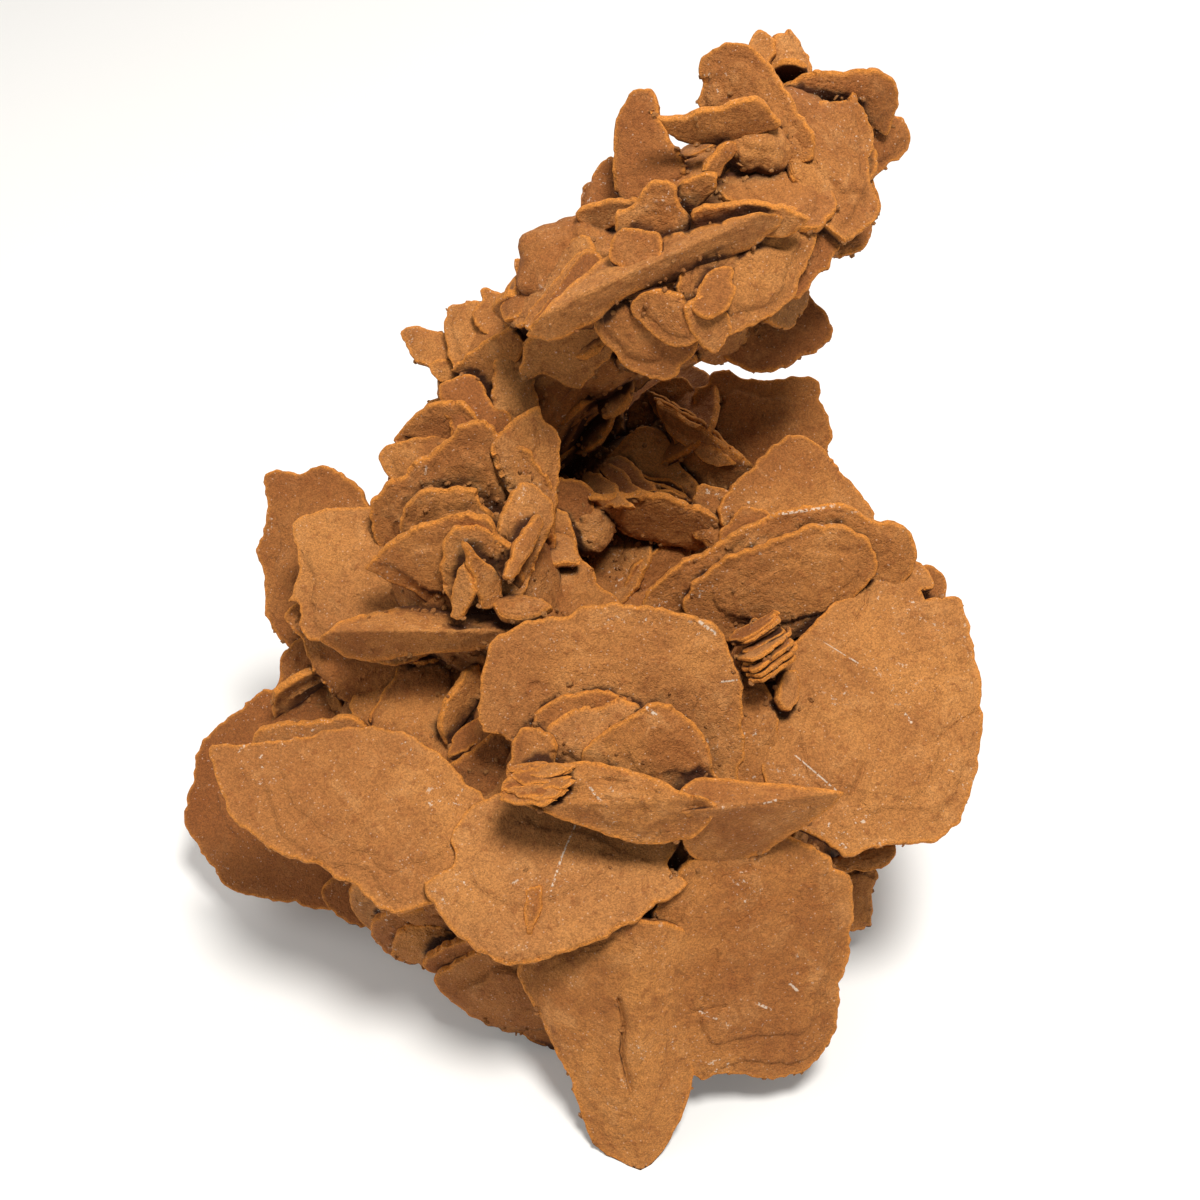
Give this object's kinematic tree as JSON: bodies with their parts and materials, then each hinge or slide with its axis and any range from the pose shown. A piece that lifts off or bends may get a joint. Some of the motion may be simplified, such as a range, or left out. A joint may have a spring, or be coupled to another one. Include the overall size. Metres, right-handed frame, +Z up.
{
  "type": "gypsum sand rose",
  "caption": "Intergrown cluster of flat, rounded sandy gypsum blades: a wide low rosette in front and a tall leaning spire behind.",
  "frame": {"origin": "on the flat resting facet under the cluster, at z = 0, near the middle of the foot", "axes": "+Z up; +X to the right and -Y towards the viewer of the wide front rosette, with the spire at the back (+Y) leaning to +X"},
  "size_m": [0.2102, 0.1991, 0.2129],
  "materials": {
    "sandy_gypsum": "matt, fine sand grain"
  },
  "bodies": {
    "root": {"sand_rose": "sandy_gypsum"}
  },
  "joints": []
}
